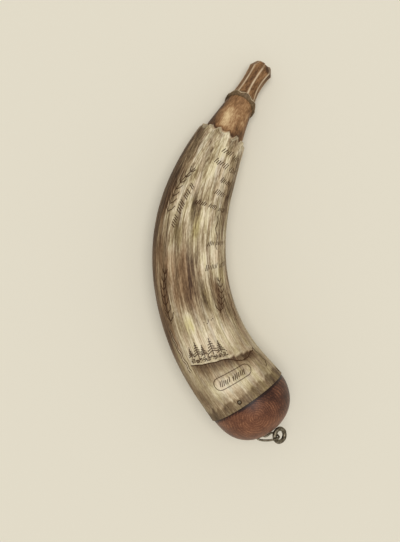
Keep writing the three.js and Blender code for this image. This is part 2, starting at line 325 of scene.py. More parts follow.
def mouth_chip(s, turn):
    aside = min(abs(turn - MOUTH_CHIP_TURN) / MOUTH_CHIP_HALF, 1) ** MOUTH_CHIP_FULLNESS
    return -MOUTH_CHIP_DEPTH * (1 - aside) * smoothstep(s, MOUTH - MOUTH_CHIP_REACH, MOUTH)


def outside_point(s, turn, relief):
    radius = (outside_radius(s) + relief) * facet_share(s, turn)
    return bent_point(s, turn, radius, scallop_shift(s, turn) + mouth_chip(s, turn), lean_at(s))


def inside_radius(s):
    """The wall thickens towards the solid tip."""
    return body_radius(s) - WALL_AT_RIM - WALL_GAIN * (s / SHOULDER) ** WALL_RISE


def inside_point(s, turn):
    """The hollow narrows into the bore, which is straight and runs along the second axis to the mouth."""
    hollow = bent_point(s, turn, inside_radius(min(s, HOLLOW_SHOULDER)))
    bore = MOUTH_PLACE + Vector((BORE_RADIUS * math.sin(turn), s - MOUTH, BORE_RADIUS * math.cos(turn)))
    return hollow.lerp(bore, smoothstep(s, HOLLOW_SHOULDER, BORE_INNER_END))


# Horn, its engraving
# Lines scratched into the body with a knife point and rubbed with soot and grease: rows of short
# strokes, a frame near the rim, fir trees on a dotted bank, leafy sprigs and wavy lines.
STROKE_PITCH = 0.3
stroke_points, stroke_cuts = [], []
engraver = random.Random(3)


def moved(place, ahead, left):
    """A place is a distance along the horn, a turn in degrees and a heading in degrees, where 0 runs
    round the horn to the right and 90 towards the spout. This gives the place so many mm ahead and to
    the left of it."""
    s, turn, heading = place
    swing = math.radians(heading)
    across = ahead * math.cos(swing) - left * math.sin(swing)
    along = ahead * math.sin(swing) + left * math.cos(swing)
    return s + along, turn + math.degrees(across / outside_radius(s)), heading


def engrave(place, line, cut=1):
    """Cuts a line of points, each so many mm ahead and to the left of a place. cut is its share of the
    full depth."""
    for start, end in zip(line, line[1:]):
        count = max(math.ceil(math.dist(start, end) / STROKE_PITCH), 1)
        for i in range(count + 1):
            s, turn, _ = moved(place, lerp(start[0], end[0], i / count), lerp(start[1], end[1], i / count))
            stroke_points.append(straight_point(s, math.radians(turn)))
            stroke_cuts.append(cut)


# Strokes stand in groups. Their ends, their spacing and the gap between groups are shares of a row's
# height.
GROUP_SMALLEST, GROUP_LARGEST, GROUP_GAP = 4, 7, 0.45
STROKE_FEET, STROKE_LOWEST_HEAD, STROKE_HIGHEST_HEAD = (0, 0.15), 0.65, 1
STROKE_CLOSEST, STROKE_WIDEST, STROKE_SLANT = 0.34, 0.42, 0.45


def row_of_strokes(place, length, height):
    """Parallel slanting strokes of uneven height, in groups."""
    ahead = 0
    while ahead < length:
        for _ in range(engraver.randint(GROUP_SMALLEST, GROUP_LARGEST)):
            low = height * engraver.choice(STROKE_FEET)
            high = height * engraver.uniform(STROKE_LOWEST_HEAD, STROKE_HIGHEST_HEAD)
            if ahead < length:
                engrave(place, [(ahead + STROKE_SLANT * low, low), (ahead + STROKE_SLANT * high, high)])
            ahead += height * engraver.uniform(STROKE_CLOSEST, STROKE_WIDEST)
        ahead += height * GROUP_GAP


WAVE_STEPS = 8


def wavy_line(place, length, wave, swing):
    steps = math.ceil(length / wave * WAVE_STEPS)
    engrave(place, [(length * i / steps, swing * math.sin(2 * math.pi * length / wave * i / steps))
                    for i in range(steps + 1)])


# A fir's first branch, the length of its crown and its longest branch are shares of its height
FIR_TIERS, FIR_FOOT, FIR_CROWN, FIR_REACH, FIR_DROOP = 5, 0.25, 0.7, 0.32, 0.45


def fir_tree(place, height):
    engrave(place, [(0, 0), (height, 0)])
    for i in range(FIR_TIERS):
        at = height * (FIR_FOOT + FIR_CROWN * i / FIR_TIERS)
        reach = height * FIR_REACH * (1 - i / FIR_TIERS)
        for side in (-1, 1):
            engrave(place, [(at, 0), (at - reach * FIR_DROOP, side * reach)])


# A leaf's bend and tip are shares of its size, ahead of its foot and aside from it
SPRIG_STEPS, FIRST_LEAF, LEAF_SHRINK = 12, 0.3, 0.5
LEAF_BEND, LEAF_TIP = (0.5, 0.55), (1.1, 0.8)


def sprig(place, length, bow, size):
    """A bowed stem with pairs of narrow leaves, each one stroke, which shrink to its tip."""
    engrave(place, [(length * i / SPRIG_STEPS, bow * math.sin(math.pi * i / SPRIG_STEPS))
                    for i in range(SPRIG_STEPS + 1)])
    pairs = round(length / size)
    for i in range(pairs):
        share = (i + FIRST_LEAF) / pairs
        foot = moved(place, length * share, bow * math.sin(math.pi * share))
        reach = size * (1 - LEAF_SHRINK * share)
        for side in (-1, 1):
            leaf = [(ahead * reach, aside * side * reach) for ahead, aside in (LEAF_BEND, LEAF_TIP)]
            engrave(foot, [(0, 0), *leaf])


DOT_AHEAD, DOT_LEFT = 0.35, 0.2


def stipple(place, length, width, count):
    for _ in range(count):
        ahead = engraver.uniform(0, length)
        left = engraver.triangular(-width / 2, width / 2, 0)
        engrave(place, [(ahead, left), (ahead + DOT_AHEAD, left + DOT_LEFT)])


FRAME_STEPS, FRAME_CUT = 8, 0.7


def frame_with_round_ends(place, length, width):
    straight, radius = length / 2 - width / 2, width / 2
    line = []
    for end in (1, -1):
        for i in range(FRAME_STEPS + 1):
            swing = -math.pi / 2 + math.pi * i / FRAME_STEPS
            line.append((end * (straight + radius * math.cos(swing)), end * radius * math.sin(swing)))
    engrave(place, line + line[:1], FRAME_CUT)


# Rows of strokes, each a place, a length and a height: across the right side below the shoulder, and
# one along the left side
ROWS = [
    ((240, 15, -3), 24, 5.6), ((228, 8, -3), 28, 5.6), ((215, 32, -3), 15, 5.2), ((203, 28, -3), 18, 5.2),
    ((188.5, 0, -2), 34, 4.8), ((165, -24, 77), 40, 5.4), ((151, 30, 6), 26, 5.2), ((127, 25, 8), 28, 5.4),
]
for place, length, height in ROWS:
    row_of_strokes(place, length, height)
# The frame near the rim, with a row of strokes in it
FRAME_PLACE, FRAME_LENGTH, FRAME_WIDTH = (26, 4, -5), 37, 11
FRAME_ROW_PLACE, FRAME_ROW_LENGTH, FRAME_ROW_HEIGHT = (24.4, -18, -5), FRAME_LENGTH * 0.7, 4.8
frame_with_round_ends(FRAME_PLACE, FRAME_LENGTH, FRAME_WIDTH)
row_of_strokes(FRAME_ROW_PLACE, FRAME_ROW_LENGTH, FRAME_ROW_HEIGHT)
# Dirt around the pins
PIN_DIRT_STEPS, PIN_DIRT_RADIUS = 12, PIN_RADIUS + RECESS_SLOPE / 2
swings = [2 * math.pi * i / PIN_DIRT_STEPS for i in range(PIN_DIRT_STEPS + 1)]
circle = [(PIN_DIRT_RADIUS * math.cos(swing), PIN_DIRT_RADIUS * math.sin(swing)) for swing in swings]
for pin_turn in PIN_TURNS:
    engrave((PIN_FROM_RIM, math.degrees(pin_turn), 0), circle)
# A dotted bank with firs above the ledge, and a few dots over them. A fir is so many mm along the bank
# and so high.
BANK_PLACE, BANK_LENGTH, BANK_WIDTH, BANK_DOTS = (54.5, -37, -13), 34, 5, 110
FIRS = [(3, 9), (9.5, 13), (15, 10), (23, 15), (30, 11)]
FIRS_AT, FIRS_TURN, FIR_HEADING = 57.5, -37, 84
FIRS_FALL, FIRS_TURN_PER_MM = 0.25, 1.58
SKY_PLACE, SKY_LENGTH, SKY_WIDTH, SKY_DOTS = (80, 2, 10), 12, 5, 6
stipple(BANK_PLACE, BANK_LENGTH, BANK_WIDTH, BANK_DOTS)
for ahead, height in FIRS:
    fir_tree((FIRS_AT - ahead * FIRS_FALL, FIRS_TURN + ahead * FIRS_TURN_PER_MM, FIR_HEADING), height)
stipple(SKY_PLACE, SKY_LENGTH, SKY_WIDTH, SKY_DOTS)
# Sprigs and wavy lines along the sides, and one row of strokes along the underside. Each is a place
# and a length, then a sprig's bow and leaf size, a wavy line's wave and swing, or the row's height.
SPRIGS = [
    ((88, -45, 84), 44, 4, 6.5), ((84, 34, 78), 36, -4, 6), ((176, -44, 72), 44, 4, 6.5),
    ((100, 150, 85), 60, 5, 8), ((175, -140, 85), 45, -4, 7.5),
]
WAVY_LINES = [
    ((48, -46, 97), 36, 9, 0.8), ((47, -50, 97), 36, 9, 0.8),
    ((182, 44, -86), 34, 17, 1.2), ((70, 62, 84), 30, 12, 1),
]
UNDERSIDE_ROW = ((60, 160, 84), 70, 4)
for place, length, bow, size in SPRIGS:
    sprig(place, length, bow, size)
for place, length, wave, swing in WAVY_LINES:
    wavy_line(place, length, wave, swing)
row_of_strokes(*UNDERSIDE_ROW)
# The crack, black with grime, follows the ledge's foot, leaves it on the right and runs down the right
# side towards the rim, here as distances and turns in degrees. Along the ledge's foot its black is
# painted shade in the crease as well as grime.
CRACK_STEPS, CRACK_START = 60, LEDGE_FROM + 2
CRACK_DOWN = [(37, 61), (33, 62.5), (28, 66), (22, 65), (19, 67.5), (16, 62), (15, 58)]
turns = [lerp(CRACK_START, LEDGE_TO, i / CRACK_STEPS) for i in range(CRACK_STEPS + 1)]
crack = [(crack_at(turn), turn) for turn in turns] + CRACK_DOWN
for (start, turn), (end, end_turn) in zip(crack, crack[1:]):
    start_point = straight_point(start, math.radians(turn))
    end_point = straight_point(end, math.radians(end_turn))
    count = math.ceil((end_point - start_point).length / STROKE_PITCH)
    stroke_points.extend(start_point.lerp(end_point, i / count) for i in range(count))
    stroke_cuts.extend([1] * count)

stroke_tree = kdtree.KDTree(len(stroke_points))
for i, point in enumerate(stroke_points):
    stroke_tree.insert(point, i)
stroke_tree.balance()

# Horn, its mesh
# The outside and the inside are flat sheets at first, with the turn across and the distance along.
# The outside gets more faces near the engraving, both are rolled up and bent, and the rim and the
# mouth's flat end close the wall.
COLUMNS = 168
BODY_PITCH, SHOULDER_PITCH, EDGE_PITCH, TIP_PITCH, INSIDE_PITCH = 2, 1, 0.3, 1.3, 12
COLLAR_ROWS = 26
STROKE_HALF_WIDTH, STROKE_DEPTH = 0.6, 0.3
REFINE_ROUNDS, REFINE_REACH = 2, 0.35
SHARP_ANGLE = math.radians(50)
WELD = 0.01
# Stains darken the horn and bleached places lighten it, and painted shade darkens it and painted
# highlights lighten it: distance, turn in degrees, half length, half width in degrees, how much
# darker, and how much redder or, below zero, greener. The broad patches along both flanks, on the
# sides of the neck and on the bevel at the mouth's right are painted shade, and those along the
# neck's top are painted highlights.
STAINS_AND_SHADING = [
    # Painted shade along the left flank
    (150, -92, 190, 66, 0.58, 1.2), (222, -50, 50, 26, 0.2, 0.1), (104, -44, 46, 18, 0.18, 0.4),
    # Painted shade along the right flank, then a stain
    (205, 66, 60, 34, 0.28, 0.2), (100, 66, 70, 30, 0.2, 0.3), (186, 2, 17, 12, 0.36, -0.5),
    (160, -18, 20, 18, 0.24, -0.3), (124, -12, 34, 36, 0.33, 1), (102, -2, 24, 26, 0.2, 0.6),
    (102, 40, 22, 18, 0.18, 0.6), (86, 46, 14, 20, 0.2, 0), (100, 20, 14, 10, 0.1, 0),
    (40, -16, 9, 30, 0.14, 0.2), (32, 36, 9, 22, 0.2, 0.2), (22, 58, 16, 24, 0.2, 0),
    (22, -52, 14, 20, 0.2, 0), (248, 30, 16, 16, 0.1, 0), (246, -34, 20, 14, 0.1, 0),
    (226, 16, 50, 11, -0.2, 0), (212, -18, 40, 12, -0.12, -0.2), (250, 2, 16, 16, -0.1, 0),
    (182, 22, 14, 10, -0.14, 0), (140, 42, 26, 16, -0.26, 0), (200, -22, 14, 12, -0.18, 0),
    (56, -62, 26, 24, -0.2, 0), (152, 20, 20, 12, 0.16, 0), (156, -40, 20, 12, 0.16, 0),
    (240, 62, 14, 18, 0.2, 0), (80, 22, 10, 10, -0.1, 0),
    (130, 22, 22, 10, -0.2, -0.2), (64, 6, 20, 62, -0.24, 0), (84, -16, 12, 12, -0.32, -1.2),
    (170, 8, 18, 9, -0.06, -0.9), (120, 56, 20, 16, -0.1, -0.6), (48, -58, 30, 14, 0, -0.7),
    (108, 18, 20, 10, 0, -0.7), (24, -18, 9, 30, -0.3, 0), (18, 14, 7, 40, -0.2, 0),
    # The neck: painted shade on its left and right sides and painted highlights along its top
    (276, -74, 26, 34, 0.3, 0), (265, -44, 11, 24, 0.34, 0), (271, -14, 13, 24, -0.5, 0),
    (264, 44, 9, 32, 0.3, 0), (282, 10, 14, 70, -0.08, 0), (280, 76, 18, 26, 0.2, 0),
    # The spout, darker as a whole and in a patch, and painted shade on the bevel at the mouth's right
    (318, 0, 50, 300, 0.16, 0), (318, -10, 30, 14, 0.1, 0), (336, 42, 6, 30, 0.6, 0),
    (331, 72, 8, 24, 0.3, 0),
]
PATCH_FALL = 1.5
# Darker at the neck's foot, painted shade with grime under the scalloped shoulder's edge; darker in a
# ragged patchy band along the rim; and a painted shadow below the ledge
FOOT_SHADE_AND_GRIME, FOOT_SHADE_WIDTH = 0.45, 4
BAND_DARKENING, BAND_WIDTH, BAND_EDGE = 0.33, 9.5, 1.5
BAND_RAGGED, BAND_TONGUE = 4.5, 4
BAND_PATCHY, BAND_PATCH, BAND_PATCH_STRETCH = 0.5, 9, 2
LEDGE_SHADOW, LEDGE_SHADOW_WIDTH, LEDGE_SHADOW_RED = 0.44, 12, 0.4
# Paler edges, painted highlights as well as rubbing on the spout's arrises, the collar and the ledge,
# and rubbing on the scallops: how bright, how wide, and for the ledge where it starts and ends above
# the edge
ARRIS_PALING, ARRIS_PALING_SWING, ARRIS_PALING_SIZE, ARRIS_PALING_WIDTH = 0.95, 0.4, 6, 1.3
FLARE_PALING_LOSS, FLARE_PALING_FROM, FLARE_PALING_TO = 0.6, FLARE - 1, FLARE + 2
EDGE_LINE = 0.2
SCALLOP_RUB, SCALLOP_RUB_WIDTH = 0.8, 2.2
LEDGE_PALING_FROM, LEDGE_PALING_FULL, LEDGE_PALING_FADE, LEDGE_PALING_TO = -0.3, 0.2, 1, 2
LEDGE_PALING_TURN = 20


def evenly(start, end, pitch):
    """Distances from start up to but not including end."""
    count = max(round((end - start) / pitch), 1)
    return [lerp(start, end, i / count) for i in range(count)]


OUTSIDE_ROWS = [
    *evenly(0, ROUNDING, EDGE_PITCH),
    *evenly(ROUNDING, SHOULDER - SCALLOP_FADE, BODY_PITCH),
    *evenly(SHOULDER - SCALLOP_FADE, SHOULDER - ROUNDING, SHOULDER_PITCH),
    *evenly(SHOULDER - ROUNDING, FOOT, EDGE_PITCH),
    *evenly(FOOT, NECK_END, TIP_PITCH),
    *[COLLAR - COLLAR_WIDTH / 2 * math.cos(math.pi * i / COLLAR_ROWS) for i in range(COLLAR_ROWS)],
    *evenly(SPOUT_START, FLARE - ROUNDING, TIP_PITCH),
    *evenly(FLARE - ROUNDING, FLARE + ROUNDING, EDGE_PITCH),
    *evenly(FLARE + ROUNDING, MOUTH - ROUNDING, TIP_PITCH),
    *evenly(MOUTH - ROUNDING, MOUTH, EDGE_PITCH),
    MOUTH,
]
INSIDE_ROWS = [
    *evenly(0, HOLLOW_SHOULDER, INSIDE_PITCH),
    *evenly(HOLLOW_SHOULDER, BORE_INNER_END, BODY_PITCH),
    *evenly(BORE_INNER_END, MOUTH, INSIDE_PITCH),
    MOUTH,
]


def add_sheet(bm, rows):
    """A flat grid whose first coordinate is the turn and whose second is the distance along the horn."""
    verts = bmesh.ops.create_grid(bm, x_segments=COLUMNS, y_segments=len(rows) - 1, size=1)["verts"]
    for vert in verts:
        row = round((vert.co.y + 1) / 2 * (len(rows) - 1))
        vert.co = (math.pi * vert.co.x, rows[row], 0)


def near_stroke(edge):
    ends = [straight_point(vert.co.y, vert.co.x) for vert in edge.verts]
    length = (ends[0] - ends[1]).length
    return stroke_tree.find((ends[0] + ends[1]) / 2)[2] < STROKE_HALF_WIDTH + REFINE_REACH * length


def stain_and_shading_at(s, turn):
    """How much darker and how much redder the horn is at a place, from its stains and grime and from
    painted shade and highlights.
    """
    degrees = math.degrees(turn)
    darker, redder = 0, 0
    # Painted shade with grime at the neck's foot, under the scalloped shoulder's edge
    if s > FOOT:
        darker += FOOT_SHADE_AND_GRIME * (1 - smoothstep(s, FOOT, FOOT + FOOT_SHADE_WIDTH))
    # Stains and bleached places, painted shade and painted highlights, patch by patch
    for at, turned, half_length, half_width, amount, red in STAINS_AND_SHADING:
        around = (degrees - turned + 180) % 360 - 180
        far = ((s - at) / half_length) ** 2 + (around / half_width) ** 2
        strength = max(1 - far, 0) ** PATCH_FALL
        darker += amount * strength
        redder += red * strength
    x, y, z = straight_point(s, turn)
    ragged = BAND_WIDTH + BAND_RAGGED * noise.noise(Vector((x, y, 0)) / BAND_TONGUE)
    patchy = 1 + BAND_PATCHY * noise.noise(Vector((x, y, z / BAND_PATCH_STRETCH)) / BAND_PATCH)
    darker += BAND_DARKENING * patchy * (1 - smoothstep(s, ragged - BAND_EDGE, ragged))
    # A painted shadow below the ledge, a little redder
    below = ledge_at(degrees) - s
    ledge_shadow = smoothstep(below, 0, LEDGE_WIDTH) * (1 - smoothstep(below, LEDGE_WIDTH, LEDGE_SHADOW_WIDTH))
    ledge_shadow *= smoothstep(degrees, LEDGE_FROM, LEDGE_FROM + LEDGE_END)
    ledge_shadow *= 1 - smoothstep(degrees, LEDGE_TO - LEDGE_END, LEDGE_TO + LEDGE_END)
    return darker + LEDGE_SHADOW * ledge_shadow, redder + LEDGE_SHADOW_RED * ledge_shadow


def wear_and_highlight_at(s, turn):
    """Paler places: the spout's arrises, the edge where its flats end on the collar and the ledge's upper
    edge, which are painted highlights as well as rubbing, and the rubbed edges of the scallops."""
    if s >= SPOUT_START:
        # Painted highlight and rubbing along the spout's arrises, less on the flare
        arris_paling = ARRIS_PALING + ARRIS_PALING_SWING * noise.noise(straight_point(s, turn) / ARRIS_PALING_SIZE)
        arris_paling *= 1 - FLARE_PALING_LOSS * smoothstep(s, FLARE_PALING_FROM, FLARE_PALING_TO)
        return arris_paling * (1 - smoothstep(outside_radius(s) * from_arris(turn), EDGE_LINE, ARRIS_PALING_WIDTH))
    if s > NECK_END:
        # Painted highlight and rubbing where the spout's flats end on the collar
        return 1 - smoothstep(abs(s - flat_end(turn)), EDGE_LINE, FLAT_CUT)
    if s > FOOT:
        return 0
    # Painted highlight and rubbing along the ledge's upper edge, and rubbing on the scallops' edges
    degrees = math.degrees(turn)
    above = s - ledge_at(degrees)
    ledge = smoothstep(above, LEDGE_PALING_FROM, LEDGE_PALING_FULL)
    ledge *= 1 - smoothstep(above, LEDGE_PALING_FADE, LEDGE_PALING_TO)
    ledge *= smoothstep(degrees, LEDGE_FROM, LEDGE_FROM + LEDGE_END)
    ledge *= 1 - smoothstep(degrees, LEDGE_PALING_TURN, LEDGE_TO)
    scallops = SCALLOP_RUB * smoothstep(s, SHOULDER - SCALLOP_RUB_WIDTH, SHOULDER - ROUNDING)
    return max(ledge, scallops)


def make_piece(name, bm, materials, node):
    """Scales a finished mesh to metres and makes it the piece that stands for a node of the frame."""
    bmesh.ops.scale(bm, vec=(MM, MM, MM), verts=bm.verts)
    mesh = bpy.data.meshes.new(name)
    for face in bm.faces:
        face.smooth = True
    for edge in bm.edges:
        if len(edge.link_faces) == 2 and edge.calc_face_angle() > SHARP_ANGLE:
            edge.smooth = False
    bm.to_mesh(mesh)
    bm.free()
    for material in materials:
        mesh.materials.append(material)
    piece = bpy.data.objects.new(name, mesh)
    bpy.context.scene.collection.objects.link(piece)
    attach(piece, "root")
    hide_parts(node)


BODY_FACE, TIP_FACE, COLLAR_FACE = 0, 1, 2
horn_mesh = bmesh.new()
straight_layer = horn_mesh.verts.layers.float_vector.new("straight")
ink_layer = horn_mesh.verts.layers.float.new("ink")
stain_and_shading_layer = horn_mesh.verts.layers.float.new("stain_and_shading")
red_layer = horn_mesh.verts.layers.float.new("red")
wear_and_highlight_layer = horn_mesh.verts.layers.float.new("wear_and_highlight")

add_sheet(horn_mesh, OUTSIDE_ROWS)
for _ in range(REFINE_ROUNDS):
    close = [edge for edge in horn_mesh.edges if near_stroke(edge)]
    bmesh.ops.subdivide_edges(horn_mesh, edges=close, cuts=1, use_grid_fill=True)
for face in horn_mesh.faces:
    middle = face.calc_center_median().y
    if middle > SPOUT_START or FOOT < middle < NECK_END:
        face.material_index = TIP_FACE
    elif middle > NECK_END:
        face.material_index = COLLAR_FACE
for vert in horn_mesh.verts:
    turn, s = vert.co.x, vert.co.y
    straight = straight_point(s, turn)
    _, nearest, distance = stroke_tree.find(straight)
    groove = stroke_cuts[nearest] * (1 - smoothstep(distance, 0, STROKE_HALF_WIDTH))
    vert[straight_layer] = straight * MM
    vert[ink_layer] = groove
    vert[stain_and_shading_layer], vert[red_layer] = stain_and_shading_at(s, turn)
    vert[wear_and_highlight_layer] = wear_and_highlight_at(s, turn)
    vert.co = outside_point(s, turn, surface_relief(s, turn) - STROKE_DEPTH * groove)

inner_mesh = bmesh.new()
add_sheet(inner_mesh, INSIDE_ROWS)
for face in inner_mesh.faces:
    face.material_index = BODY_FACE if face.calc_center_median().y < BORE_INNER_END else TIP_FACE
for vert in inner_mesh.verts:
    vert.co = inside_point(vert.co.y, vert.co.x)
inner_sheet = bpy.data.meshes.new("inner_sheet")
inner_mesh.to_mesh(inner_sheet)
inner_mesh.free()
horn_mesh.from_mesh(inner_sheet)
bpy.data.meshes.remove(inner_sheet)

bmesh.ops.remove_doubles(horn_mesh, verts=horn_mesh.verts, dist=WELD)
open_edges = [edge for edge in horn_mesh.edges if edge.is_boundary]
halfway = lerp(RIM_PLACE.y, MOUTH_PLACE.y, 0.5)
for at_mouth in (True, False):
    loops = [edge for edge in open_edges if (edge.verts[0].co.y > halfway) == at_mouth]
    bmesh.ops.bridge_loops(horn_mesh, edges=loops)
bmesh.ops.recalc_face_normals(horn_mesh, faces=horn_mesh.faces)


# Horn, its materials
# Keratin, scraped and rubbed until it has a satin gloss. The body is cream with stained fibres, and
# the solid tip is brown. The maps of stains and painted shading, of redness, of paler edges, which are
# painted highlights as well as rubbing, and of soot come from the mesh.
def linear(hex_code):
    """An sRGB hex colour as linear RGBA."""
    channels = [int(hex_code[i:i + 2], 16) / 255 for i in (1, 3, 5)]
    return (*[c / 12.92 if c <= 0.04045 else ((c + 0.055) / 1.055) ** 2.4 for c in channels], 1)


def add_node(tree, kind, inputs, stops=(), **settings):
    """Adds a shader node. An input is a value or another node's output, and stops are a colour ramp's,
    with its two ends first."""
    node = tree.nodes.new("ShaderNode" + kind)
    for name, value in settings.items():
        setattr(node, name, value)
    for i, (at, hex_code) in enumerate(stops):
        ramp = node.color_ramp.elements
        stop = ramp[i] if i < 2 else ramp.new(at)
        stop.position = at
        stop.color = linear(hex_code)
    for socket, value in inputs.items():
        if isinstance(value, bpy.types.NodeSocket):
            tree.links.new(value, node.inputs[socket])
        else:
            node.inputs[socket].default_value = value
    return node


def new_material(name, metallic, roughness, gloss):
    """An empty material with a surface shader, returned with its node tree and the shader."""
    material = bpy.data.materials.new(name)
    material.use_nodes = True
    shader = material.node_tree.nodes["Principled BSDF"]
    shader.inputs["Metallic"].default_value = metallic
    shader.inputs["Roughness"].default_value = roughness
    shader.inputs["Specular IOR Level"].default_value = gloss
    return material, material.node_tree, shader


def per_mm(*sizes):
    """A pattern's scale along each axis from its real size in millimetres."""
    return tuple(1 / (size * MM) for size in sizes)


# Blender's noise seldom leaves this range
NOISE_LOW, NOISE_HIGH = 0.34, 0.66


def streaks(tree, place, shade, layers):
    """Adds layers of stretched noise to a shade. A layer is the width, length and fineness of its
    streaks, and how much they lighten and darken. Returns the shade and the last layer's own pattern."""
    for width, length, detail, amount in layers:
        stretched = add_node(tree, "Mapping", {"Vector": place, "Scale": per_mm(width, width, length)})
        grain = add_node(tree, "TexNoise", {"Vector": stretched.outputs[0], "Scale": 1, "Detail": detail})
        swing = add_node(tree, "MapRange", {
            "Value": grain.outputs["Fac"], "From Min": NOISE_LOW, "From Max": NOISE_HIGH,
            "To Min": -amount / 2, "To Max": amount / 2}, interpolation_type="SMOOTHSTEP")
        shade = add_node(tree, "Math", {0: shade, 1: swing.outputs[0]}, operation="ADD").outputs[0]
    return shade, grain.outputs["Fac"]


HORN_CREAMS = [
    (0.0, "#e4d7ba"), (1.0, "#463523"),
    (0.2, "#cabb9c"), (0.4, "#a89677"), (0.6, "#867356"), (0.8, "#67543e"),
]
HORN_SHADE = 0.365
HORN_FIBRES = [(8, 90, 2, 0.34), (2, 36, 2, 0.27), (0.9, 16, 2, 0.28)]
HORN_MOTTLING = [(1, 3, 2, 0.14)]
HORN_REDDENING = [(6, 26, 2, 0.8)]
HORN_GREY, HORN_GREYING = -0.1, [(5, 50, 2, 1.4)]
HORN_TINTING, HORN_PALING, HORN_SOOT = 0.8, 0.5, 0.92
SOOT_FROM, SOOT_FULL = 0.05, 0.5
SCRATCH_DEPTH = 0.4
FIBRES_FAINT_AT, FIBRES_CLEAR_AT, FIBRES_FAINTEST = 35, 110, 0.35


def scraped_horn():
    """Scraped and polished cow horn: cream keratin with brown, olive and violet-grey fibres along its
    length, satin, and soot in the engraved lines. The fine fibres are drawn about 1 mm wide so that they
    show, and they are fainter near the rim, where the scraper went over them longest."""
    material, tree, shader = new_material("scraped_cow_horn", metallic=0, roughness=0.55, gloss=0.12)
    straight = add_node(tree, "Attribute", {}, attribute_name="straight").outputs["Vector"]
    # The map of stains also holds painted shade and painted highlights
    stain_and_shading = add_node(tree, "Attribute", {}, attribute_name="stain_and_shading").outputs["Fac"]
    ink = add_node(tree, "Attribute", {}, attribute_name="ink").outputs["Fac"]
    # The map of paler edges holds painted highlights as well as rubbing
    wear_and_highlight = add_node(tree, "Attribute", {}, attribute_name="wear_and_highlight").outputs["Fac"]
    red = add_node(tree, "Attribute", {}, attribute_name="red").outputs["Fac"]
    fibres, hair = streaks(tree, straight, 0, HORN_FIBRES)
    mottled = streaks(tree, straight, HORN_SHADE, HORN_MOTTLING)[0]
    along = add_node(tree, "SeparateXYZ", {"Vector": straight}).outputs["Z"]
    clear = add_node(tree, "MapRange", {
        "Value": along, "From Min": FIBRES_FAINT_AT * MM, "From Max": FIBRES_CLEAR_AT * MM,
        "To Min": FIBRES_FAINTEST}).outputs[0]
    shade = add_node(tree, "Math", {0: stain_and_shading, 1: mottled}, operation="ADD").outputs[0]
    shade = add_node(tree, "Math", {0: fibres, 1: clear, 2: shade}, operation="MULTIPLY_ADD").outputs[0]
    cream = add_node(tree, "ValToRGB", {"Fac": shade}, stops=HORN_CREAMS).outputs["Color"]
    red = streaks(tree, straight, red, HORN_REDDENING)[0]
    green = add_node(tree, "Math", {0: red, 1: -1}, operation="MULTIPLY").outputs[0]
    grey = streaks(tree, straight, HORN_GREY, HORN_GREYING)[0]
    for strength, tint in [(red, "#dcc3b4"), (green, "#dedcae"), (grey, "#d8dae6")]:
        share = add_node(tree, "MapRange", {"Value": strength, "To Max": HORN_TINTING}).outputs[0]
        cream = add_node(tree, "MixRGB", {"Fac": share, "Color1": cream, "Color2": linear(tint)},
                         blend_type="MULTIPLY").outputs["Color"]
    # Paler along the ledge's upper edge, a painted highlight as well as rubbing, and on the rubbed edges of
    # the scallops
    rubbed = add_node(tree, "Math", {0: wear_and_highlight, 1: HORN_PALING}, operation="MULTIPLY").outputs[0]
    pale = add_node(tree, "MixRGB", {"Fac": rubbed, "Color1": cream, "Color2": linear("#d8caaa")})
    soot = add_node(tree, "MapRange", {
        "Value": ink, "From Min": SOOT_FROM, "From Max": SOOT_FULL, "To Max": HORN_SOOT})
    inked = add_node(tree, "MixRGB", {
        "Fac": soot.outputs[0], "Color1": pale.outputs["Color"], "Color2": linear("#38200a")})
    tree.links.new(inked.outputs["Color"], shader.inputs["Base Color"])
    scratches = add_node(tree, "Bump", {"Height": hair, "Strength": 0.35, "Distance": SCRATCH_DEPTH * MM})
    tree.links.new(scratches.outputs["Normal"], shader.inputs["Normal"])
    return material


TIP_SHADE, TIP_PALING, TIP_SCRATCHES = 0.55, 0.85, (0.9, 5, 2, 0.2)


def horn_tip(name, stops, mottle):
    """The solid tip of the horn, carved and handled until it is brown, with golden mottling so many mm
    wide, fine lengthwise scratches, drawn about 1 mm wide so that they show, and pale edges, which are
    painted highlights as well as rubbing."""
    material, tree, shader = new_material(name, metallic=0, roughness=0.5, gloss=0.15)
    straight = add_node(tree, "Attribute", {}, attribute_name="straight").outputs["Vector"]
    # The map of stains also holds painted shade and painted highlights on the neck and the spout
    stain_and_shading = add_node(tree, "Attribute", {}, attribute_name="stain_and_shading").outputs["Fac"]
    wear_and_highlight = add_node(tree, "Attribute", {}, attribute_name="wear_and_highlight").outputs["Fac"]
    shade = add_node(tree, "Math", {0: stain_and_shading, 1: TIP_SHADE}, operation="ADD").outputs[0]
    layers = [(mottle, mottle * 2, 3, 0.18), (mottle / 2, mottle / 2, 2, 0.12), TIP_SCRATCHES]
    shade, scratch = streaks(tree, straight, shade, layers)
    brown = add_node(tree, "ValToRGB", {"Fac": shade}, stops=stops).outputs["Color"]
    # Paler along the spout's arrises and where its flats end on the collar: painted highlights as well as
    # rubbing
    rubbed = add_node(tree, "Math", {0: wear_and_highlight, 1: TIP_PALING}, operation="MULTIPLY").outputs[0]
    pale = add_node(tree, "MixRGB", {"Fac": rubbed, "Color1": brown, "Color2": linear("#d0b998")})
    tree.links.new(pale.outputs["Color"], shader.inputs["Base Color"])
    scratches = add_node(tree, "Bump", {"Height": scratch, "Strength": 0.3, "Distance": SCRATCH_DEPTH * MM})
    tree.links.new(scratches.outputs["Normal"], shader.inputs["Normal"])
    return material


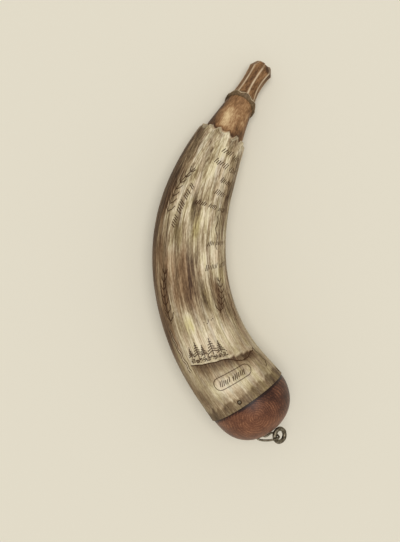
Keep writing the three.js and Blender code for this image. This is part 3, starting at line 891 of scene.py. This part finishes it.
TIP_MOTTLE, COLLAR_MOTTLE = 5, 2.5
TIP_BROWNS = [(0.0, "#d2b68a"), (1.0, "#4a3220"), (0.3, "#b3926a"), (0.5, "#946f4b"), (0.75, "#6f4f32")]
COLLAR_BROWNS = [(0.0, "#98866a"), (1.0, "#3a2a18"), (0.5, "#766146")]
horn_materials = [
    scraped_horn(),
    horn_tip("carved_horn_tip", TIP_BROWNS, TIP_MOTTLE),
    horn_tip("carved_horn_collar", COLLAR_BROWNS, COLLAR_MOTTLE),
]
make_piece("horn_body", horn_mesh, horn_materials, "horn")

# Base plug
# A dome of reddish brown hardwood, turned on a lathe with its spigot in one piece, oiled and pushed
# into the rim. The grain shows as rings around the heart of the branch, which stands upright as the
# horn lies.
PLUG_RADIUS, DOME_FULLNESS = 37.3, 2.3
SPIGOT_LENGTH, FIT_GAP = 12, 0.35
DOME_STEPS, PLUG_SEGMENTS = 28, 112
# The painted shadow with grime along the joint, under the horn's rim, reaches so far over the plug
JOINT_SHADOW_WIDTH = 3.5
plug_heading = centreline_from_rim(0)[1]
PLUG_OUT = Vector((-math.sin(plug_heading), -math.cos(plug_heading), 0))
PLUG_RIGHT = Vector((math.cos(plug_heading), -math.sin(plug_heading), 0))
PLUG_UP = Vector((0, 0, 1))
PLUG_CENTRE = Vector((*RIM_PLACE, height_at(0)))


def on_plug(out, right, up):
    """A place given outwards from the rim, to the right and upwards from the plug's axis."""
    return PLUG_CENTRE + out * PLUG_OUT + right * PLUG_RIGHT + up * PLUG_UP


plug_mesh = bmesh.new()
profile = [(FIT_GAP + DOME_DEPTH, 0)]
for i in range(1, DOME_STEPS + 1):
    swing = math.pi / 2 * i / DOME_STEPS
    rise = max(math.cos(swing), 0) ** (2 / DOME_FULLNESS)
    profile.append((FIT_GAP + DOME_DEPTH * rise, PLUG_RADIUS * math.sin(swing) ** (2 / DOME_FULLNESS)))
profile.append((FIT_GAP, inside_radius(0) - FIT_GAP))
profile.append((-SPIGOT_LENGTH, inside_radius(SPIGOT_LENGTH) - FIT_GAP))
profile.append((-SPIGOT_LENGTH, 0))
outline = [plug_mesh.verts.new(on_plug(out, 0, radius)) for out, radius in profile]
edges = [plug_mesh.edges.new(pair) for pair in zip(outline, outline[1:])]
bmesh.ops.spin(plug_mesh, geom=outline + edges, cent=PLUG_CENTRE, axis=PLUG_OUT, angle=2 * math.pi,
               steps=PLUG_SEGMENTS, use_merge=True)
bmesh.ops.remove_doubles(plug_mesh, verts=plug_mesh.verts, dist=WELD)
joint_layer = plug_mesh.verts.layers.float.new("joint")
for vert in plug_mesh.verts:
    out = (vert.co - PLUG_CENTRE).dot(PLUG_OUT)
    right = (vert.co - PLUG_CENTRE).dot(PLUG_RIGHT)
    # A painted shadow with grime along the joint, under the horn's rim
    vert[joint_layer] = 1 - smoothstep(out, FIT_GAP, FIT_GAP + JOINT_SHADOW_WIDTH)
    vert.co -= PLUG_OUT * tilt_at(-out) * right
bmesh.ops.recalc_face_normals(plug_mesh, faces=plug_mesh.faces)

HEART = on_plug(14, -4, 0)
GROWTH_RING, PALE_FROM, PALENESS = 2.2, 0.55, 0.32
RING_PATCH, PATCH_LOW, PATCH_HIGH = 6, 0.35, 0.65
SHADED_SIDE = (PLUG_RIGHT * 0.8 - PLUG_OUT * 0.6).normalized()
SHADED_FROM, SHADED_TO, LIGHT_SHADE, DARK_SHADE = -4, 26, 0.47, 0.2
JOINT_SHADE = -0.6
WOOD_MOTTLING = [(12, 12, 3, 0.14), (1, 1, 2, 0.18)]
WOOD_BROWNS = [(0.0, "#28160f"), (1.0, "#a5744f"), (0.25, "#4a2c1f"), (0.5, "#6c442f"), (0.75, "#875a3f")]
PORE_DEPTH = 0.3


def turned_wood():
    """Oiled fruitwood, turned: dark red-brown with paler growth rings that come and go, pores drawn 1 mm
    wide so that they show, and a soft gloss. Painted shade darkens it towards the rim on the right, and
    a painted shadow with grime blackens it along the joint, under the horn's rim."""
    material, tree, shader = new_material("turned_fruitwood", metallic=0, roughness=0.42, gloss=0.22)
    place = add_node(tree, "TexCoord", {}).outputs["Object"]
    joint = add_node(tree, "Attribute", {}, attribute_name="joint").outputs["Fac"]
    centred = add_node(tree, "VectorMath", {0: place, 1: HEART * MM}, operation="SUBTRACT").outputs[0]
    # At a scale of 1 the wave's rings are a tenth of pi apart
    rings = add_node(tree, "TexWave", {
        "Vector": centred, "Scale": math.pi / 10 / (GROWTH_RING * MM), "Distortion": 11, "Detail": 4,
        "Detail Scale": 0.4, "Detail Roughness": 0.6},
        wave_type="RINGS", rings_direction="Z").outputs["Fac"]
    pale = add_node(tree, "MapRange", {"Value": rings, "From Min": PALE_FROM, "To Max": PALENESS}).outputs[0]
    clear = add_node(tree, "TexNoise", {"Vector": place, "Scale": 1 / (RING_PATCH * MM), "Detail": 2})
    clear = add_node(tree, "MapRange", {
        "Value": clear.outputs["Fac"], "From Min": PATCH_LOW, "From Max": PATCH_HIGH}).outputs[0]
    pale = add_node(tree, "Math", {0: pale, 1: clear}, operation="MULTIPLY").outputs[0]
    aside = add_node(tree, "VectorMath", {0: centred, 1: SHADED_SIDE}, operation="DOT_PRODUCT")
    dark = add_node(tree, "MapRange", {
        "Value": aside.outputs["Value"], "From Min": SHADED_FROM * MM, "From Max": SHADED_TO * MM,
        "To Min": LIGHT_SHADE, "To Max": DARK_SHADE}, interpolation_type="SMOOTHSTEP").outputs[0]
    shade = add_node(tree, "Math", {0: pale, 1: dark}, operation="ADD").outputs[0]
    # Painted shadow with grime along the joint, under the horn's rim
    shadowed = add_node(tree, "Math", {0: joint, 1: JOINT_SHADE, 2: shade}, operation="MULTIPLY_ADD")
    shade, pores = streaks(tree, place, shadowed.outputs[0], WOOD_MOTTLING)
    brown = add_node(tree, "ValToRGB", {"Fac": shade}, stops=WOOD_BROWNS).outputs["Color"]
    tree.links.new(brown, shader.inputs["Base Color"])
    grain = add_node(tree, "Bump", {"Height": pores, "Strength": 0.2, "Distance": PORE_DEPTH * MM})
    tree.links.new(grain.outputs["Normal"], shader.inputs["Normal"])
    return material


make_piece("plug_dome", plug_mesh, [turned_wood()], "base_plug")

# Pins
# Four headless iron pins, cut from wire and driven through the horn's wall into the plug's spigot, a
# little below the surface.
PIN_LENGTH, PIN_SUNK = 8, 0.2
PIN_SEGMENTS, PIN_ROUNDING = 24, 0.5
IRON_GREYS = [(0.3, "#3a3224"), (0.75, "#a39a86"), (0.5, "#6d6350")]
SCALE_PATCH, SCALE_DEPTH = 2.5, 0.4


def forged_iron():
    """Wrought iron, hammered and browned with age: dark scale, with worn grey where it is rubbed."""
    material, tree, shader = new_material("forged_iron", metallic=0.85, roughness=0.5, gloss=0.5)
    place = add_node(tree, "TexCoord", {}).outputs["Object"]
    scale = add_node(tree, "TexNoise", {"Vector": place, "Scale": 1 / (SCALE_PATCH * MM), "Detail": 4})
    scale = scale.outputs["Fac"]
    tone = add_node(tree, "ValToRGB", {"Fac": scale}, stops=IRON_GREYS).outputs["Color"]
    tree.links.new(tone, shader.inputs["Base Color"])
    hammering = add_node(tree, "Bump", {"Height": scale, "Strength": 0.5, "Distance": SCALE_DEPTH * MM})
    tree.links.new(hammering.outputs["Normal"], shader.inputs["Normal"])
    return material


iron = forged_iron()
for i, turn in enumerate(PIN_TURNS):
    outer = bent_point(PIN_FROM_RIM, turn, body_radius(PIN_FROM_RIM) - PIN_SUNK)
    inner = bent_point(PIN_FROM_RIM, turn, body_radius(PIN_FROM_RIM) - PIN_SUNK - PIN_LENGTH)
    facing = (outer - inner).to_track_quat("Z", "Y").to_matrix().to_4x4()
    pin_mesh = bmesh.new()
    bmesh.ops.create_cone(pin_mesh, cap_ends=True, segments=PIN_SEGMENTS, radius1=PIN_RADIUS,
                          radius2=PIN_RADIUS, depth=PIN_LENGTH,
                          matrix=Matrix.Translation((outer + inner) / 2) @ facing)
    ends = [edge for edge in pin_mesh.edges if edge.calc_face_angle() > SHARP_ANGLE]
    bmesh.ops.bevel(pin_mesh, geom=ends, offset=PIN_ROUNDING, offset_type="OFFSET", affect="EDGES",
                    segments=3, profile=0.5, material=-1)
    make_piece(f"iron_pin_{i + 1}", pin_mesh, [iron], f"pin_{i + 1}")

# Staple
# A length of iron wire, bent double like a hairpin, its two legs driven into the dome and its bow bent
# over to hold the ring.
STAPLE_WIRE, STAPLE_LEG_END = 2, 27
STAPLE_ROUNDNESS, STAPLE_STEPS = 4, 12
STAPLE_ROUTE = [
    (STAPLE_LEG_END, -15.8, 8.6), (33.6, -15.8, 8.6), (35.8, -15.8, 8.6), (45.9, -1.6, 9.3),
    (45.3, -0.1, 3.3), (41.2, -2.2, 0.7), (38.5, -10.6, 0.6), (35.6, -10.6, 0.6),
    (STAPLE_LEG_END, -10.6, 0.6),
]
wire = bpy.data.curves.new("staple_wire", "CURVE")
wire.dimensions = "3D"
wire.bevel_depth = STAPLE_WIRE / 2
wire.bevel_resolution = STAPLE_ROUNDNESS
wire.use_fill_caps = True
spline = wire.splines.new("BEZIER")
spline.resolution_u = STAPLE_STEPS
spline.bezier_points.add(len(STAPLE_ROUTE) - 1)
for point, (out, right, up) in zip(spline.bezier_points, STAPLE_ROUTE):
    point.co = on_plug(out, right, up)
    point.handle_left_type = "AUTO"
    point.handle_right_type = "AUTO"
bent_wire = bpy.data.objects.new("staple_wire", wire)
staple_mesh = bmesh.new()
staple_mesh.from_mesh(bpy.data.meshes.new_from_object(bent_wire))
bpy.data.objects.remove(bent_wire)
bmesh.ops.remove_doubles(staple_mesh, verts=staple_mesh.verts, dist=WELD)
bmesh.ops.recalc_face_normals(staple_mesh, faces=staple_mesh.faces)
make_piece("staple_wire", staple_mesh, [iron], "staple")

# Ring
# A small forged iron ring for the strap, welded shut around the staple's bow, where it hangs at a
# slant. The hammer left its wire a little uneven.
RING_OUTSIDE, RING_WIRE = 16, 4.2
RING_SEGMENTS, RING_WIRE_SEGMENTS = 64, 20
RING_NORMAL = 0.36 * PLUG_OUT + 0.45 * PLUG_RIGHT + 0.817 * PLUG_UP
DENT_SIZE, DENT_DEPTH, DENT_LEVEL = 3.5, 0.18, 0.4
low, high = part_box("ring")
ring_centre = (low + high) / 2 / MM
facing = Matrix.Translation(ring_centre) @ RING_NORMAL.to_track_quat("Z", "Y").to_matrix().to_4x4()
ring_mesh = bmesh.new()
aside = Matrix.Translation(((RING_OUTSIDE - RING_WIRE) / 2, 0, 0))
section = bmesh.ops.create_circle(ring_mesh, segments=RING_WIRE_SEGMENTS, radius=RING_WIRE / 2,
                                  matrix=aside @ Matrix.Rotation(math.pi / 2, 4, "X"))["verts"]
bmesh.ops.spin(ring_mesh, geom=section + ring_mesh.edges[:], cent=(0, 0, 0), axis=(0, 0, 1),
               angle=2 * math.pi, steps=RING_SEGMENTS, use_merge=True)
bmesh.ops.remove_doubles(ring_mesh, verts=ring_mesh.verts, dist=WELD)
bmesh.ops.recalc_face_normals(ring_mesh, faces=ring_mesh.faces)
ring_mesh.normal_update()
for vert in ring_mesh.verts:
    vert.co += vert.normal * DENT_DEPTH * (noise.noise(vert.co / DENT_SIZE) - DENT_LEVEL)
bmesh.ops.transform(ring_mesh, matrix=facing, verts=ring_mesh.verts)
make_piece("strap_ring", ring_mesh, [iron], "ring")

# Floor and light
# A floor of matt pale paper, so large that its edge is far off in every view. The light is soft, from a
# broad source far above with a little from all round.
FLOOR_HALF = 8000
floor_mesh = bmesh.new()
bmesh.ops.create_grid(floor_mesh, x_segments=1, y_segments=1, size=FLOOR_HALF * MM)
floor = bpy.data.objects.new("floor", bpy.data.meshes.new("floor"))
floor_mesh.to_mesh(floor.data)
floor_mesh.free()
paper, _, shader = new_material("pale_paper", metallic=0, roughness=0.9, gloss=0.2)
shader.inputs["Base Color"].default_value = linear("#dad4c3")
floor.data.materials.append(paper)
bpy.context.scene.collection.objects.link(floor)

LIGHT_POWER, LIGHT_BREADTH, ROOM_LIGHT = 1.85, math.radians(38), 0.5
LIGHT_FROM = Vector((60, 40, 1350))
light = bpy.data.objects.new("light", bpy.data.lights.new("light", "SUN"))
light.data.energy = LIGHT_POWER
light.data.angle = LIGHT_BREADTH
light.rotation_euler = LIGHT_FROM.to_track_quat("Z", "Y").to_euler()
bpy.context.scene.collection.objects.link(light)
world = bpy.data.worlds.new("studio")
world.use_nodes = True
background = world.node_tree.nodes["Background"]
background.inputs["Color"].default_value = linear("#fffdf9")
background.inputs["Strength"].default_value = ROOM_LIGHT
bpy.context.scene.world = world
bpy.context.scene.view_settings.view_transform = "Standard"
